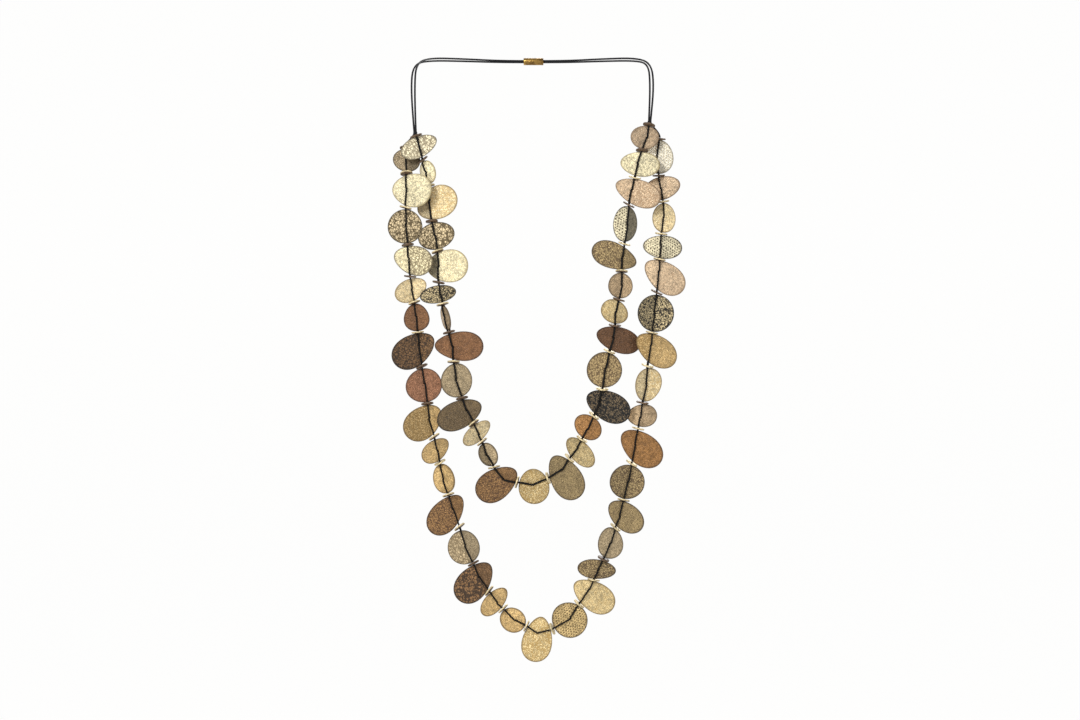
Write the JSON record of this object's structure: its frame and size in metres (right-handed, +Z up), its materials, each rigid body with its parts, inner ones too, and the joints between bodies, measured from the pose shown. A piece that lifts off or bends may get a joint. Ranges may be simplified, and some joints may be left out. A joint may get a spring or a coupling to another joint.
{
  "type": "necklace",
  "caption": "Long double strand necklace of flat egg-shaped metallic leather petals on fine cord, with small washers between them and plain cords round the neck.",
  "frame": {"origin": "the nape: the neck side of the barrel that joins the cords behind the neck", "axes": "+Z up; the wearer faces -Y; X runs from the wearer's right hand side to the left, which is left to right for a viewer in front"},
  "size_m": [0.1968, 0.1176, 0.413],
  "materials": {
    "leather_pale": "pale gold foil, embossed",
    "leather_gold": "gold foil, embossed",
    "leather_bronze": "bronze foil, pebbled",
    "leather_dark": "dark brown, pebbled, slight shine",
    "leather_copper": "copper foil, fine grain",
    "thread_and_washers": "gold faced leather washers on black waxed cord",
    "neck_cord": "black waxed cord",
    "barrel": "satin"
  },
  "bodies": {
    "root": {"nape_barrel": "barrel", "neck_cords_left": "neck_cord", "neck_cords_right": "neck_cord", "petal_inner_01": "leather_pale", "petal_inner_03": "leather_pale", "petal_inner_04": "leather_gold", "petal_inner_05": "leather_pale", "petal_inner_08": "leather_copper", "petal_inner_09": "leather_gold", "petal_inner_10": "leather_dark", "petal_inner_13": "leather_bronze", "petal_inner_14": "leather_gold", "petal_inner_15": "leather_bronze", "petal_inner_18": "leather_dark", "petal_inner_19": "leather_bronze", "petal_inner_20": "leather_copper", "petal_inner_23": "leather_bronze", "petal_inner_24": "leather_gold", "petal_inner_25": "leather_pale", "petal_inner_26": "leather_pale", "petal_outer_02": "leather_pale", "petal_outer_03": "leather_bronze", "petal_outer_04": "leather_pale", "petal_outer_07": "leather_dark", "petal_outer_08": "leather_copper", "petal_outer_09": "leather_bronze", "petal_outer_12": "leather_bronze", "petal_outer_13": "leather_gold", "petal_outer_14": "leather_dark", "petal_outer_17": "leather_gold", "petal_outer_18": "leather_gold", "petal_outer_19": "leather_gold", "petal_outer_20": "leather_bronze", "petal_outer_22": "leather_bronze", "petal_outer_23": "leather_bronze", "petal_outer_24": "leather_copper", "petal_outer_26": "leather_pale", "petal_outer_27": "leather_gold", "petal_outer_28": "leather_dark", "petal_outer_29": "leather_pale", "petal_outer_30": "leather_pale", "petal_outer_32": "leather_pale", "petal_outer_33": "leather_pale", "thread_inner_1": "thread_and_washers", "thread_inner_2": "thread_and_washers", "thread_inner_3": "thread_and_washers", "thread_inner_4": "thread_and_washers", "thread_inner_5": "thread_and_washers", "thread_inner_6": "thread_and_washers", "thread_inner_7": "thread_and_washers", "thread_inner_8": "thread_and_washers", "thread_outer_1": "thread_and_washers", "thread_outer_2": "thread_and_washers", "thread_outer_3": "thread_and_washers", "thread_outer_4": "thread_and_washers", "thread_outer_5": "thread_and_washers", "thread_outer_6": "thread_and_washers", "thread_outer_7": "thread_and_washers", "thread_outer_8": "thread_and_washers"}
  },
  "joints": []
}
